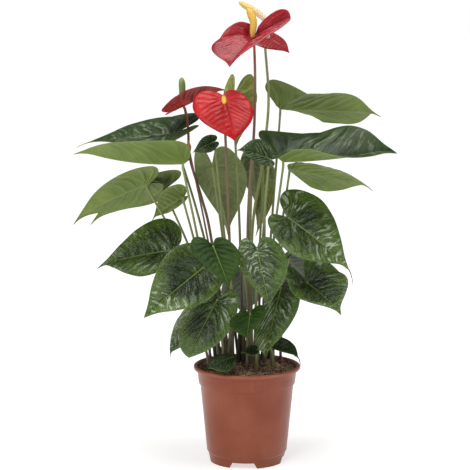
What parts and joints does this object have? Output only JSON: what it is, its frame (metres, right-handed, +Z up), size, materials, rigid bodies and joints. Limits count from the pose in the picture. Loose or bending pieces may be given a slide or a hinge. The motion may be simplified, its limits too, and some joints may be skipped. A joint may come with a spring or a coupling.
{
  "type": "potted flamingo flower",
  "caption": "Bushy red-flowering houseplant with glossy heart-shaped leaves on thin stalks, growing in a tapered plastic nursery pot.",
  "frame": {"origin": "on the table plane, under the centre of the whole plant's box; the pot's axis is at x 0.026, y -0.020", "axes": "+Z up, +X to the right and +Y to the back, as the plant is seen from its front"},
  "size_m": [0.5147, 0.3034, 0.7286],
  "materials": {
    "leaf": "satin",
    "young_leaf": "satin",
    "leaf_underside": "satin",
    "spathe": "gloss",
    "spadix": "matte",
    "green_spadix": "matte",
    "brown_stalk": "satin",
    "green_stalk": "satin",
    "terracotta_plastic": "satin",
    "peat": "matte"
  },
  "bodies": {
    "root": {"pot": "terracotta_plastic", "soil": "peat", "leaf_left_top": "leaf", "leaf_left_near": "leaf_underside", "leaf_left_back": "leaf_underside", "leaf_left_behind": "leaf_underside", "leaf_left_small": "leaf_underside", "leaf_left_low": "leaf", "leaf_front_left": "leaf", "leaf_front_heart": "young_leaf", "leaf_front_middle": "leaf", "leaf_right_near": "leaf", "leaf_right_low": "leaf", "leaf_rim_left": "leaf", "leaf_rim_behind": "leaf", "leaf_rim_heart": "young_leaf", "leaf_rim_right": "leaf", "leaf_over_rim": "leaf", "leaf_in_pot": "leaf", "leaf_seedling": "leaf", "leaf_middle_back": "leaf_underside", "leaf_left_dark": "leaf", "leaf_middle_dark": "leaf", "leaf_back_high": "leaf_underside", "leaf_back_narrow": "leaf_underside", "leaf_back_middle": "leaf_underside", "leaf_behind_bloom": "leaf_underside", "leaf_right_top": "leaf_underside", "leaf_right_wide": "leaf", "leaf_right_under": "leaf_underside", "leaf_rear_left": "leaf", "leaf_rear_right": "leaf", "leaf_rear_low": "leaf", "bloom_top_spathe": "spathe", "bloom_top_stalk": "brown_stalk", "bloom_top_spadix": "spadix", "bloom_second_spathe": "spathe", "bloom_second_stalk": "green_stalk", "bloom_second_spadix": "spadix", "bloom_left_spathe": "spathe", "bloom_left_stalk": "brown_stalk", "bloom_left_spadix": "green_spadix", "bloom_front_spathe": "spathe", "bloom_front_stalk": "brown_stalk", "bloom_front_spadix": "spadix", "bud": "spathe", "bud_stalk": "brown_stalk"}
  },
  "joints": []
}
